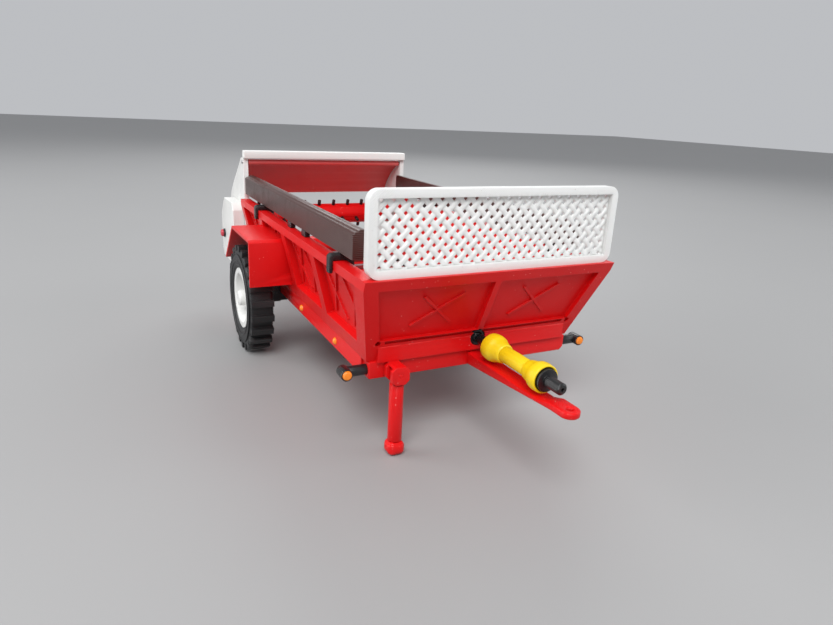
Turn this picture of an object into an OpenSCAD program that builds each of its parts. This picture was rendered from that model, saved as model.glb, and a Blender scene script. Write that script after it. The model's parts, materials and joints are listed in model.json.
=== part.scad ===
// Trailed muck spreader, one thirty-second scale model.
// Millimetres, +Z up, the drawbar points to -Y.
// Stations along the spreader are counted from the top front edge of the front wall.

/* [Hopper] */
// Length of the hopper along its top rim
hopper_len = 141; // [120:1:170]
// Outer width across the top rim
rim_w = 78.4; // [66:0.2:94]
// Outer width of the hopper at floor level
base_w = 67.6; // [62:0.2:72]
// Height of the hopper floor's underside above the ground
floor_z = 27; // [26:0.5:34]
// Height of the hopper walls above the floor's underside
wall_h = 25.4; // [24:0.2:31]
// How far the top of the front wall leans forward
front_lean = 11.3; // [6:0.1:13]
// Thickness of the sunk wall panels
panel_t = 1.4; // [1:0.1:2]
// Depth of the sunk panels below the posts and rim
panel_sink = 2.4; // [1.6:0.1:3]
// Height of the top rim
rim_h = 2.6; // [2:0.1:3.2]
// Height of the plain band below the side panels
band_h = 4.8; // [3.5:0.1:6]
// Width of each side post
post_w = 4.5; // [3:0.1:6]
// Number of side panels along the hopper
bays = 4; // [2:1:6]
// Thickness of the floor plate
floor_t = 1.2; // [1:0.1:1.6]

/* [Front wall] */
// Thickness of the front wall
front_t = 3.2; // [2.8:0.1:4]
// Depth of its two sunk panels
front_sink = 1.6; // [1:0.1:2]
// Width of the stiles at its sides
stile_w = 4; // [3:0.1:5]
// Width of the rib between its panels
rib_w = 1.8; // [1:0.1:3]
// Height of the slot below the panels
slot_h = 1; // [0.6:0.1:1.4]
// Radius of the three round holes on the slot
slot_hole_r = 0.8; // [0.6:0.05:1]
// Width of the thin ridges crossed on each panel
ridge_w = 0.7; // [0.5:0.05:1]
// Height of the thin ridges above their panel
ridge_h = 0.6; // [0.4:0.05:0.8]

/* [Side boards] */
// Thickness of a side board
board_t = 3.6; // [2.6:0.1:4.2]
// Height of a side board
board_h = 8; // [6:0.1:10]
// Height of the sloping edge along its top
board_slope = 1.1; // [0.6:0.1:2]
// Station of the front ends of the boards
board_start = 14; // [10:0.5:24]
// Height of the brackets' straps above the rim
strap_h = 2; // [1.4:0.1:3]
// Thickness of the brackets' legs
hook_t = 1.2; // [0.8:0.1:1.6]
// Width of each bracket along the rim
hook_w = 2.4; // [1.6:0.1:4]

/* [Screen] */
// Height of the screen above the rim
screen_h = 21.8; // [16:0.2:28]
// Width of the screen
screen_w = 76.2; // [62:0.2:92]
// How far the screen stands behind the front wall's top front edge
screen_y = 1.2; // [0.4:0.1:2.6]
// Depth of the screen's frame
screen_d = 3; // [2.4:0.1:3.6]
// Width of the frame's side bars
screen_bar = 2.2; // [1.6:0.1:3]
// Radius of the screen's outer corners
screen_corner = 3; // [2:0.1:4]
// Distance between the centres of two openings in a row
mesh_pitch = 3.3; // [3:0.1:5]
// Width of each opening from corner to corner
mesh_hole = 1.3; // [1:0.05:1.6]
// Thickness of the mesh sheet
mesh_t = 1.2; // [0.8:0.1:1.4]

/* [Chassis] */
// Height of the chassis rails and the front beam
rail_h = 5; // [4.4:0.1:6]
// Depth of the front beam from front to back
beam_d = 4.4; // [3.6:0.1:6]
// Number of cross members under the floor
cross_members = 4; // [3:1:5]
// Width of each cross member
cross_w = 3; // [2:0.1:4]

/* [Drawbar] */
// Reach of the hitch eye in front of the front wall
eye_reach = 31.5; // [29:0.5:40]
// Radius of the hitch eye's hole
eye_r = 0.9; // [0.6:0.05:1.2]
// Width of the drawbar
drawbar_w = 5.2; // [4:0.1:7]
// Thickness of the drawbar at the eye
eye_t = 1.8; // [1.4:0.1:2.4]

/* [Wheels] */
// Radius of the tyres
tyre_r = 20.2; // [18:0.1:20.6]
// Width of the tyres
tyre_w = 9.2; // [7:0.1:11]
// Track, measured between the inner sides of the tyres
track = 80; // [79:0.2:88]
// Station of the axle
axle_y = 102; // [90:0.5:112]
// Radius of the axle's stub ends
stub_r = 1.6; // [1.2:0.05:2]
// Radius of the wheel rim
wheel_rim_r = 11.6; // [9:0.1:13]
// Number of tread bars round a tyre
lugs = 22; // [16:1:28]
// Height of the tread bars
lug_h = 1.5; // [0.8:0.1:2]
// Height of the fender tops above the ground
fender_z = 47; // [45:0.1:49]
// Room between the front and back of a tyre and its fender
fender_gap = 1.6; // [1.2:0.1:3]
// Thickness of the fender sheet
fender_t = 1; // [0.8:0.1:1.4]

/* [Power shaft] */
// Height of the power shaft above the ground
pto_z = 30.6; // [30:0.1:31.4]
// Reach of the shaft's front end in front of the front wall
pto_reach = 28.4; // [26:0.2:32]
// Radius of the guard tube
guard_r = 2.2; // [2.1:0.05:2.6]
// Radius of the guard cones at their open ends
cone_r = 3.9; // [3.4:0.1:4]
// Radius of the plain shaft
shaft_r = 1.55; // [1.3:0.05:1.8]
// Thickness of the guard's walls
guard_t = 0.7; // [0.5:0.05:0.9]

/* [Stand] */
// Distance of the stand from the middle of the spreader
stand_x = 26.4; // [22:0.2:28]
// Width of the stand's head and foot
stand_head = 5.2; // [5:0.1:6.6]
// Radius of the stand's leg
leg_r = 2; // [1.6:0.05:2.1]

/* [Rear unit] */
// Distance across the outer faces of the cheek plates
cheek_span = 75.2; // [70:0.2:78]
// Thickness of the cheek plates
cheek_t = 2; // [1.4:0.1:2.6]
// Length of the cheek plates behind the hopper
cheek_len = 33; // [29:0.5:40]
// Height of the underside of the top bar
bar_z = 69.2; // [66:0.2:76]
// Height of the top bar
bar_h = 3.4; // [2.4:0.1:4.4]
// Depth of the top bar from front to back
bar_d = 3.6; // [2.6:0.1:4.6]
// Radius of the curved hood panel
hood_r = 33.4; // [32:0.1:35]
// Thickness of the hood panel
hood_t = 1.2; // [0.9:0.05:1.6]
// Radius of the beater drums
drum_r = 4.6; // [3.6:0.1:4.8]
// Radius to the tips of the beater spikes
spike_reach = 7; // [6:0.1:7.2]
// Number of spikes in each row along a drum
spikes = 9; // [5:1:12]
// Number of spike rows round a drum
spike_rows = 4; // [3:1:6]
// Radius of the beater shafts
beater_shaft_r = 1.3; // [1:0.05:1.6]
// Height of the upper beater above the ground
upper_z = 43.5; // [42.5:0.1:45]
// Height of the lower beater above the ground
lower_z = 28.2; // [27:0.1:29]
// Distance of the beaters behind the hopper
beater_back = 9.4; // [8.6:0.1:11]

/* [Lamps] */
// Distance of the front lamps from the middle of the spreader
lamp_x = 39.5; // [37.4:0.1:42]
// Radius of the front lamp housings
lamp_r = 1.65; // [1.5:0.05:2]
// Radius of the side marker lenses
marker_r = 1.25; // [1:0.05:1.5]

/* [Hidden] */
$fn = 48;

red = [0.78, 0.08, 0.08];
white = [0.9, 0.9, 0.88];
black = [0.06, 0.06, 0.07];
brown = [0.3, 0.2, 0.18];
yellow = [0.95, 0.82, 0.05];
orange = [0.95, 0.45, 0.05];
steel = [0.6, 0.6, 0.62];

fit = 0.05;
gap = 0.3;
far = 400;

rim_z = floor_z + wall_h;
wall_t = panel_sink + panel_t;
rail_z = floor_z - rail_h;
lip_h = 4.6;
lip_bevel = 1.6;
panel_low = floor_z + 6.5;
front_rim_d = front_t + 2.8;
beam_y = 10.6;
beam_half = base_w / 2 - 0.6;
eye_y = -eye_reach;
eye_half = drawbar_w / 2;
rear_y = hopper_len + cheek_len;
nose_y = eye_y - eye_half;
mid_y = (nose_y + rear_y) / 2;
beater_y = hopper_len + beater_back;
cheek_in = cheek_span / 2 - cheek_t;
cheek_out = cheek_span / 2;
board_z = rim_z + strap_h;
board_in = rim_w / 2 - wall_t - board_t + 1.8;
board_out = board_in + board_t;
hook_stations = [board_start + 10, board_start + 96];
pad_stations = [board_start + 43, board_start + 59];
conveyor_z = floor_z + floor_t;
chain_x = 21;
conveyor_y = hopper_len - 3;
conveyor_shaft_z = rail_z + 2.5;
sprocket_r = 2.9;
floor_end = conveyor_y - sprocket_r - gap;
housing_w = 14;
housing_end = 21;
housing_top = pto_z + 4;
pivot_y = beam_y;
stand_y = beam_y - 3.4;
stand_pivot_z = floor_z - stand_head / 2;
// Gap between the two ears of the stand's head, and how much its corners are cut
ear_gap = 2.8;
head_cut = 1.2;
foot_cut = 1.2;
tongue_r = leg_r - 0.4;
stand_pin_r = 0.6;
foot_h = stand_head - 0.8;
lamp_y = beam_y + beam_d / 2;
lamp_z = rail_z + 2.3;
marker_stations = [35.7, 70.2];
board_flat = board_t * 0.36;
bracket_out = track / 2 - 0.8;
bracket_low = rail_z - 3.6;
bracket_top = rail_z + 2.8;
screen_mid_z = rim_z + screen_h / 2;
ball_r = 1.5;
hood_cy = hopper_len - 11.3;
hood_cz = bar_z - 31.7;
hinge_y = hopper_len + 1.6;
hinge_z = hood_cz + sqrt(pow(hood_r - hood_t / 2, 2) - pow(hinge_y - hood_cy, 2));
gear_r = 3.4;
gear_x = cheek_out + 1.4;
guard_x = cheek_out + 4.8;
tail_y = rear_y - 10;
tail_z = rail_z + 11.5;
bead_step = 0.8;

// Outer half width of the hopper at height z
function side_x(z) =
    z > rim_z - rim_h ? rim_w / 2
    : base_w / 2 + (rim_w - base_w) / 2 * (z - floor_z) / (wall_h - rim_h);
// Inner half width of the hopper at height z
function inner_x(z) =
    base_w / 2 - wall_t + (rim_w - base_w) / 2 * (z - floor_z) / wall_h;
// Station of the front wall's front face at height z
function face_y(z) = front_lean * (rim_z - z) / wall_h;
// Station of the front face of post i, counted from 0 at the front corner
function post_y(i) = 8 + (hopper_len - post_w - 8) * i / bays;

// Places the spreader with the middle of its length over the origin
module on_centre() translate([0, -mid_y, 0]) children();
// Turns an outline drawn as [across, up] into a slab from station y0 to y1
module slab(y0, y1) translate([0, y1, 0]) rotate([90, 0, 0]) linear_extrude(y1 - y0) children();
// Turns an outline drawn as [station, up] into a slab from x0 to x1
module plate(x0, x1) translate([x0, 0, 0]) rotate([90, 0, 90]) linear_extrude(x1 - x0) children();
// A round bar along X
module bar_x(x0, x1, y, z, r) translate([x0, y, z]) rotate([0, 90, 0]) cylinder(h = x1 - x0, r = r);
// A round bar along Y
module bar_y(y0, y1, x, z, r) translate([x, y1, z]) rotate([90, 0, 0]) cylinder(h = y1 - y0, r = r);
// The part of space between depths d0 and d1 behind the leaning front face
module lean(d0, d1) {
    z0 = floor_z;
    z1 = rim_z;
    plate(-far / 2, far / 2)
        polygon([
            [face_y(z0) + d0, z0], [face_y(z1) + d0, z1],
            [face_y(z1) + d1, z1], [face_y(z0) + d1, z0],
        ]);
}
// A thin ridge drawn flat from a to b
module ridge(a, b) {
    run = b - a;
    translate(a)
        rotate(atan2(run[1], run[0]))
            translate([0, -ridge_w / 2])
                square([norm(run), ridge_w]);
}
// Two crossed ridges, w across and h high
module cross_ridges(w, h) {
    ridge([-w / 2, -h / 2], [w / 2, h / 2]);
    ridge([-w * 0.36, h / 2], [w * 0.36, -h / 2]);
}
// A square with its corners cut off
module cut_square(w, h, c) {
    polygon([
        [-w / 2 + c, -h / 2], [w / 2 - c, -h / 2], [w / 2, -h / 2 + c], [w / 2, h / 2 - c],
        [w / 2 - c, h / 2], [-w / 2 + c, h / 2], [-w / 2, h / 2 - c], [-w / 2, -h / 2 + c],
    ]);
}
// A rectangle with round corners
module round_rect(w, h, r) {
    hull_w = w / 2 - r;
    hull_h = h / 2 - r;
    square([w - 2 * r, h], center = true);
    square([w, h - 2 * r], center = true);
    for (sx = [-1, 1], sz = [-1, 1]) translate([sx * hull_w, sz * hull_h]) circle(r);
}

// ---- hopper ----

module front_outline(inset) {
    polygon([
        [-side_x(floor_z) + inset, floor_z], [side_x(floor_z) - inset, floor_z],
        [rim_w / 2 - inset, rim_z - rim_h], [rim_w / 2 - inset, rim_z],
        [-rim_w / 2 + inset, rim_z], [-rim_w / 2 + inset, rim_z - rim_h],
    ]);
}

module front_panel(side) {
    low = panel_low;
    high = rim_z - rim_h - 0.4;
    polygon([
        [side * rib_w / 2, low], [side * (side_x(low) - stile_w), low],
        [side * (side_x(high) - stile_w), high], [side * rib_w / 2, high],
    ]);
}

module front_wall() color(red) on_centre() {
    mid_x = (side_x(floor_z) - stile_w + rib_w) / 2;
    mid_z = (panel_low + rim_z - rim_h) / 2;
    cross_w1 = mid_x * 0.9;
    cross_h = (rim_z - rim_h - panel_low) * 0.56;
    slot_z = panel_low - slot_h / 2 - 0.2;
    difference() {
        union() {
            intersection() {
                lean(0, front_t);
                slab(-10, 40) front_outline(0);
            }
            plate(-inner_x(rim_z - 1.6), inner_x(rim_z - 1.6))
                polygon([
                    [face_y(rim_z) + front_t / 2, rim_z - 1.6], [front_rim_d, rim_z - 1.6],
                    [front_rim_d, rim_z], [face_y(rim_z) + front_t / 2, rim_z],
                ]);
        }
        intersection() {
            lean(-1, front_sink);
            slab(-10, 40) for (side = [-1, 1]) front_panel(side);
        }
        translate([-mid_x * 2 + 2, face_y(slot_z) - 1, slot_z - slot_h / 2])
            cube([mid_x * 4 - 4, 2.2, slot_h]);
        for (x = [-1, 0, 1])
            bar_y(face_y(slot_z) - 1, face_y(slot_z) + 2, x * mid_x * 2, slot_z, slot_hole_r);
        bar_y(0, 30, 0, pto_z, shaft_r + 0.9);
    }
    intersection() {
        lean(front_sink - ridge_h, front_sink + 0.2);
        slab(-10, 40)
            for (side = [-1, 1]) translate([side * mid_x, mid_z]) cross_ridges(cross_w1, cross_h);
    }
}

// Section of the right wall, drawn as [across, up]
module wall_section(outer_cut) {
    polygon([
        [inner_x(floor_z), floor_z], [side_x(floor_z) - outer_cut, floor_z],
        [side_x(rim_z - rim_h) - outer_cut, rim_z - rim_h], [rim_w / 2 - outer_cut, rim_z],
        [inner_x(rim_z), rim_z],
    ]);
}

module band_section() {
    polygon([
        [inner_x(floor_z) + 1, floor_z], [side_x(floor_z), floor_z],
        [side_x(floor_z + band_h), floor_z + band_h],
        [side_x(floor_z + band_h) - panel_sink - 0.2, floor_z + band_h + 1],
    ]);
}

module rim_section() {
    polygon([
        [inner_x(rim_z) + 0.6, rim_z - rim_h], [rim_w / 2, rim_z - rim_h],
        [rim_w / 2, rim_z], [inner_x(rim_z) + 0.6, rim_z],
    ]);
}

// The right wall as one solid, which the fender is cut to fit
module wall_solid() {
    intersection() {
        union() {
            slab(-5, hopper_len) wall_section(panel_sink);
            slab(-5, hopper_len) band_section();
            slab(-5, hopper_len) rim_section();
            for (i = [1 : bays]) slab(post_y(i), post_y(i) + post_w) wall_section(0);
            intersection() {
                lean(front_t, front_t + 3);
                slab(-5, hopper_len) wall_section(0);
            }
        }
        lean(front_t, far);
    }
}

module side_ridges() {
    lean_x = (rim_w - base_w) / 2 / (wall_h - rim_h);
    low = floor_z + band_h + 1;
    high = rim_z - rim_h;
    mid_z = (low + high) / 2;
    for (i = [0 : bays - 1], k = [1, 2]) {
        start = post_y(i) + (i == 0 ? 0 : post_w);
        y = start + (post_y(i + 1) - start) * (k == 1 ? 0.27 : 0.73);
        translate([side_x(mid_z) - panel_sink, y, mid_z])
            rotate([0, atan(lean_x), 0])
                translate([-0.2, 0, 0])
                    rotate([90, 0, 90])
                        linear_extrude(ridge_h + 0.2) cross_ridges(11, (high - low) * 0.84);
    }
}

module side_wall() {
    wall_solid();
    side_ridges();
}

module left_wall() color(red) on_centre() mirror([1, 0, 0]) side_wall();
module right_wall() color(red) on_centre() side_wall();

module floor_plate() color(red) on_centre() {
    difference() {
        plate(-inner_x(floor_z), inner_x(floor_z))
            polygon([
                [face_y(floor_z) + front_t, floor_z], [floor_end, floor_z],
                [floor_end, conveyor_z], [face_y(conveyor_z) + front_t, conveyor_z],
            ]);
        translate([-housing_w / 2, 0, rail_z]) cube([housing_w, housing_end, far]);
    }
}

module lip_rail() color(red) on_centre() {
    difference() {
        plate(-beam_half + 2, beam_half - 2)
            polygon([
                [face_y(floor_z) - 1.9, floor_z], [face_y(floor_z), floor_z],
                [face_y(floor_z + lip_h), floor_z + lip_h],
                [face_y(floor_z) - 1.9, floor_z + lip_h - lip_bevel],
            ]);
        bar_y(0, 30, 0, pto_z, shaft_r + 0.9);
    }
}

// ---- chassis ----

module front_beam() color(red) on_centre() {
    slab(beam_y, beam_y + beam_d)
        polygon([
            [-beam_half, rail_z], [beam_half - 1.2, rail_z], [beam_half, rail_z + 1.2],
            [beam_half, floor_z], [-beam_half, floor_z],
        ]);
}

module rail() {
    difference() {
        translate([inner_x(floor_z), beam_y + beam_d, rail_z])
            cube([wall_t, hopper_len - beam_y - beam_d, rail_h]);
        bar_x(0, far, conveyor_y, conveyor_shaft_z, beater_shaft_r + fit);
    }
}
module left_rail() color(red) on_centre() mirror([1, 0, 0]) rail();
module right_rail() color(red) on_centre() rail();

module cross_members() color(red) on_centre() {
    first = beam_y + beam_d + 20;
    last = floor_end - 8;
    for (i = [0 : cross_members - 1])
        translate([-inner_x(floor_z), first + (last - first) * i / (cross_members - 1), floor_z - 3.6])
            cube([2 * inner_x(floor_z), cross_w, 3.6]);
}

module drawbar() color(red) on_centre() {
    eye_top = pto_z - cone_r + 0.5;
    bar_top = pto_z - cone_r - 0.6;
    end_z = eye_top - eye_t;
    difference() {
        union() {
            plate(-eye_half, eye_half)
                polygon([
                    [beam_y, rail_z + 0.4], [beam_y, bar_top], [eye_y + 8.5, bar_top],
                    [eye_y + 5, eye_top], [eye_y, eye_top], [eye_y, end_z], [eye_y + 4, end_z],
                ]);
            translate([0, eye_y, end_z]) cylinder(h = eye_t, r = eye_half);
        }
        translate([0, eye_y, end_z - 1]) cylinder(h = eye_t + 2, r = eye_r);
    }
}

module axle() color(black) on_centre() {
    beam_top = rail_z;
    beam_low = 2 * tyre_r - beam_top;
    translate([-inner_x(floor_z) - wall_t, axle_y - 2, beam_low])
        cube([2 * (inner_x(floor_z) + wall_t), 4, beam_top - beam_low]);
    bar_x(-track / 2 - tyre_w + 1.2, track / 2 + tyre_w - 1.2, axle_y, tyre_r, stub_r);
    for (side = [0, 1])
        mirror([side, 0, 0])
            translate([base_w / 2, axle_y - 3, bracket_low])
                cube([bracket_out - base_w / 2, 6, bracket_top - bracket_low]);
}

// ---- screen ----

module screen_frame() color(white) on_centre() {
    translate([0, 0, screen_mid_z])
        slab(screen_y, screen_y + screen_d)
            difference() {
                round_rect(screen_w, screen_h, screen_corner);
                square([screen_w - 2 * screen_bar, screen_h - 2 * screen_bar], center = true);
            }
}

module screen_mesh() color(white) on_centre() {
    w = screen_w - 2 * screen_bar;
    h = screen_h - 2 * screen_bar;
    columns = floor((w - 1) / mesh_pitch / 2);
    rows = floor((h - 1) / mesh_pitch / 2);
    side = mesh_hole / sqrt(2);
    translate([0, 0, screen_mid_z])
        slab(screen_y + (screen_d - mesh_t) / 2, screen_y + (screen_d + mesh_t) / 2)
            difference() {
                square([w, h], center = true);
                for (i = [-columns : columns], k = [-rows : rows])
                    translate([i * mesh_pitch, k * mesh_pitch]) rotate(45) square(side, center = true);
                for (i = [-columns : columns - 1], k = [-rows : rows - 1])
                    translate([(i + 0.5) * mesh_pitch, (k + 0.5) * mesh_pitch])
                        rotate(45) square(side, center = true);
            }
}

// ---- side boards ----

module board() {
    slab(board_start, hopper_len - 0.4)
        polygon([
            [board_in, board_z], [board_out, board_z],
            [board_out, board_z + board_h - board_slope],
            [board_in + board_flat, board_z + board_h], [board_in, board_z + board_h],
        ]);
}
module left_board() color(brown) on_centre() mirror([1, 0, 0]) board();
module right_board() color(brown) on_centre() board();

module hook(y) {
    outer = rim_w / 2 + hook_t;
    inner = inner_x(rim_z);
    slab(y - hook_w / 2, y + hook_w / 2)
        polygon([
            [rim_w / 2, rim_z - rim_h - 0.8], [outer, rim_z - rim_h - 0.8],
            [outer, rim_z + strap_h - 0.7], [outer - 0.7, rim_z + strap_h],
            [board_in - 0.6, rim_z + strap_h], [inner - 2.4, rim_z - rim_h],
            [inner - 1.2, rim_z - rim_h], [inner, rim_z], [rim_w / 2, rim_z],
        ]);
}

module board_hooks() color(black) on_centre() {
    for (y = hook_stations, side = [0, 1]) mirror([side, 0, 0]) hook(y);
}

module board_pads() color(black) on_centre() {
    for (y = pad_stations, side = [0, 1])
        mirror([side, 0, 0])
            translate([inner_x(rim_z), y - 2, rim_z])
                cube([board_out - inner_x(rim_z), 4, strap_h]);
}

// ---- wheels ----

module fender() {
    front = axle_y - tyre_r - fender_gap;
    back = axle_y + tyre_r * 0.32;
    low = floor_z + 3.4;
    tail_y = axle_y + tyre_r + fender_gap;
    tail_z = fender_z - 15;
    t = fender_t;
    difference() {
        plate(base_w / 2 - wall_t, track / 2 + tyre_w + 0.4)
            polygon([
                [front - t, low], [front - t, fender_z - 1], [front - t + 1, fender_z],
                [back, fender_z], [tail_y, tail_z], [tail_y - t, tail_z - t * 0.4],
                [back - t * 0.4, fender_z - t], [front, fender_z - t], [front, low],
            ]);
        side_wall();
        slab(0, far)
            polygon([
                [0, floor_z], [inner_x(floor_z) + panel_t, floor_z],
                [inner_x(rim_z) + panel_t, rim_z], [0, rim_z],
            ]);
    }
}
module left_fender() color(red) on_centre() mirror([1, 0, 0]) fender();
module right_fender() color(red) on_centre() fender();

// A wheel's place on the right, with its axle along +Z of the children
module at_wheel() translate([track / 2, axle_y, tyre_r]) rotate([0, 90, 0]) children();

module tyre() {
    shoulder = tyre_r - lug_h;
    bead = wheel_rim_r - bead_step + fit;
    rotate_extrude($fn = 72)
        polygon([
            [bead, 1.6], [wheel_rim_r + fit, 1.1], [wheel_rim_r + 1.4, 0.2], [shoulder - 2.4, 0],
            [shoulder - 0.4, 0.9],
            [shoulder, 1.8], [shoulder, tyre_w - 1.8], [shoulder - 0.4, tyre_w - 0.9],
            [shoulder - 2.4, tyre_w], [wheel_rim_r + 1.4, tyre_w - 0.2], [wheel_rim_r + fit, tyre_w - 1.1],
            [bead, tyre_w - 1.6],
        ]);
    for (i = [0 : lugs - 1])
        rotate(360 * i / lugs)
            translate([shoulder - 0.6, -1.2, 0.5])
                cube([lug_h + 0.6, 2.4, tyre_w - 1]);
}

module wheel_rim() {
    bead = wheel_rim_r - bead_step;
    w = tyre_w;
    difference() {
        rotate_extrude($fn = 72)
            polygon([
                [0, w * 0.34], [bead - 1.2, w * 0.34], [bead - 1.2, 0.6], [wheel_rim_r, 0.6],
                [wheel_rim_r, 1.1], [bead, 1.6], [bead, w - 1.6], [wheel_rim_r, w - 1.1],
                [wheel_rim_r, w - 0.6], [bead - 1.2, w - 0.6], [bead - 2.6, w * 0.34 + 2],
                [4.4, w * 0.34 + 2], [4.4, w * 0.34 + 3.2], [0, w * 0.34 + 3.2],
            ]);
        translate([0, 0, -1]) cylinder(h = w + 2, r = stub_r + fit);
    }
}

module hub_cap() {
    w = tyre_w;
    difference() {
        union() {
            translate([0, 0, w * 0.34 + 3.2]) cylinder(h = 2.6, r = 3);
            translate([0, 0, w * 0.34 + 5.8]) cylinder(h = 0.6, r1 = 3, r2 = 2.4);
        }
        cylinder(h = w - 0.9, r = stub_r + fit);
    }
}

module wheel_nuts() {
    for (i = [0 : 5])
        rotate(60 * i + 30)
            translate([6.2, 0, tyre_w * 0.34 + 2])
                cylinder(h = 0.9, r = 0.8, $fn = 6);
}

module left_tyre() color(black) on_centre() mirror([1, 0, 0]) at_wheel() tyre();
module right_tyre() color(black) on_centre() at_wheel() tyre();
module left_wheel_rim() color(white) on_centre() mirror([1, 0, 0]) at_wheel() wheel_rim();
module right_wheel_rim() color(white) on_centre() at_wheel() wheel_rim();
module left_hub_cap() color(white) on_centre() mirror([1, 0, 0]) at_wheel() hub_cap();
module right_hub_cap() color(white) on_centre() at_wheel() hub_cap();
module left_wheel_nuts() color(steel) on_centre() mirror([1, 0, 0]) at_wheel() wheel_nuts();
module right_wheel_nuts() color(steel) on_centre() at_wheel() wheel_nuts();

// ---- power shaft ----

module input_housing() color(black) on_centre() {
    difference() {
        union() {
            translate([-housing_w / 2, 0, rail_z + 0.6])
                intersection() {
                    cube([housing_w, housing_end, housing_top - rail_z - 0.6]);
                    translate([0, face_y(floor_z) + front_t, 0]) cube(far);
                }
            bar_y(beam_y - 1, face_y(floor_z) + front_t, 0, pto_z, shaft_r + 0.9);
        }
        bar_y(0, pivot_y + 2, 0, pto_z, ball_r + fit);
        translate([-housing_w, 0, rail_z]) cube([2 * housing_w, beam_y + beam_d, rail_h]);
    }
}

module power_shaft() color(black) on_centre() {
    tip = -pto_reach;
    yoke_y = tip + 6.4;
    difference() {
        union() {
            translate([0, pivot_y, pto_z]) sphere(r = ball_r);
            bar_y(pivot_y - 2.6, pivot_y, 0, pto_z, 1);
            bar_y(yoke_y, pivot_y - 2.4, 0, pto_z, shaft_r - 0.15);
            bar_y(yoke_y - 0.8, yoke_y + 0.6, 0, pto_z, cone_r - guard_t - 0.2);
            bar_y(tip + 0.4, yoke_y, 0, pto_z, shaft_r);
            translate([0, tip + 0.4, pto_z]) rotate([90, 0, 0]) cylinder(h = 0.4, r1 = shaft_r, r2 = shaft_r - 0.4);
        }
        bar_y(tip - 1, tip + 1.6, 0, pto_z, 0.5);
    }
}

module guard_tube() color(yellow) on_centre() {
    front = -pto_reach + 13;
    difference() {
        bar_y(front, -3.4, 0, pto_z, guard_r);
        bar_y(front - 1, 0, 0, pto_z, shaft_r - 0.15 + fit);
    }
}

// A guard cone whose wide end points along +Z of the children
module cone() {
    rotate_extrude()
        polygon([
            [guard_r, 0], [guard_r + 0.4, 0.2], [cone_r - 0.7, 2.8], [cone_r - 0.15, 4],
            [cone_r, 5.2], [cone_r - 0.15, 7],
            [cone_r - guard_t, 7], [cone_r - guard_t, 4.8], [guard_r, 1.4],
        ]);
}

module rear_guard_cone() color(yellow) on_centre()
    translate([0, -4.8, pto_z]) rotate([-90, 0, 0]) cone();
module front_guard_cone() color(yellow) on_centre()
    translate([0, -pto_reach + 13 + 0.4, pto_z]) rotate([90, 0, 0]) cone();

// ---- stand ----

module at_stand() translate([-stand_x, stand_y, 0]) children();

module stand_head() color(red) on_centre() at_stand() {
    half = stand_head / 2;
    difference() {
        translate([0, 0, stand_pivot_z])
            slab(-half, beam_y - stand_y) cut_square(stand_head, stand_head, head_cut);
        translate([tongue_r + 0.4 - far / 2, -ear_gap / 2, stand_pivot_z - half - 1])
            cube([far / 2, ear_gap, half + tongue_r + 1.4]);
        bar_y(-half - 1, half + 1, 0, stand_pivot_z, stand_pin_r);
    }
}

module stand_leg() color(red) on_centre() at_stand() {
    low = foot_h;
    // The leg's shoulder passes below the head's cut corners as it swings
    high = stand_pivot_z - norm([stand_head / 2, stand_head / 2 - head_cut]) - gap / 2;
    tongue = ear_gap - 0.4;
    difference() {
        union() {
            translate([0, 0, low]) cylinder(h = high - low, r = leg_r);
            bar_y(-tongue / 2, tongue / 2, 0, stand_pivot_z, tongue_r);
            translate([-tongue_r, -tongue / 2, high - 1])
                cube([2 * tongue_r, tongue, stand_pivot_z - high + 1]);
        }
        bar_y(-far / 2, far / 2, 0, stand_pivot_z, stand_pin_r + fit);
    }
}

module stand_foot() color(red) on_centre() at_stand() {
    intersection() {
        translate([0, 0, foot_h / 2]) slab(-stand_head, stand_head) cut_square(stand_head, foot_h, foot_cut);
        translate([0, 0, foot_h / 2]) plate(-stand_head, stand_head) cut_square(stand_head, foot_h, foot_cut);
        linear_extrude(far) cut_square(stand_head, stand_head, foot_cut);
    }
}

module stand_pin() color(red) on_centre() at_stand()
    bar_y(-stand_head / 2, stand_head / 2, 0, stand_pivot_z, stand_pin_r);

// ---- rear unit ----

module cheek_outline() {
    polygon([
        [hopper_len, rail_z], [rear_y - 2, rail_z], [rear_y, rail_z + 2], [rear_y, 46],
        [rear_y - 4, 52], [hopper_len + 22, bar_z - 11.7], [hopper_len + 13, bar_z - 5.7],
        [hopper_len + 5, bar_z], [hopper_len, bar_z],
    ]);
}

module cheek() {
    difference() {
        plate(cheek_in, cheek_out) cheek_outline();
        for (z = [upper_z, lower_z]) bar_x(0, far, beater_y, z, beater_shaft_r + 0.7);
        bar_x(0, far, hinge_y, hinge_z, 0.7);
    }
}
module left_cheek() color(white) on_centre() mirror([1, 0, 0]) cheek();
module right_cheek() color(white) on_centre() cheek();

module top_bar() color(white) on_centre() {
    translate([0, 0, bar_z + bar_h / 2])
        slab(hopper_len - 1.4, hopper_len - 1.4 + bar_d)
            round_rect(cheek_span, bar_h, 0.6);
}

module hood_panel() color(red) on_centre() {
    half = cheek_in - gap;
    difference() {
        union() {
            intersection() {
                plate(-half, half)
                    difference() {
                        translate([hood_cy, hood_cz]) circle(hood_r, $fn = 96);
                        translate([hood_cy, hood_cz]) circle(hood_r - hood_t, $fn = 96);
                    }
                plate(-half, half)
                    polygon([
                        [hinge_y, hood_cz + 15], [hinge_y + far, hood_cz + 15],
                        [hinge_y + far, far], [hinge_y, far],
                    ]);
            }
            bar_x(-half, half, hinge_y, hinge_z, 1.2);
        }
        for (side = [0, 1])
            mirror([side, 0, 0]) bar_x(half - 4, half + 1, hinge_y, hinge_z, 0.7 + fit);
    }
}

module hood_pins() color(steel) on_centre() {
    for (side = [0, 1])
        mirror([side, 0, 0]) bar_x(cheek_in - gap - 3.6, cheek_out + 0.4, hinge_y, hinge_z, 0.7);
}

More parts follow.
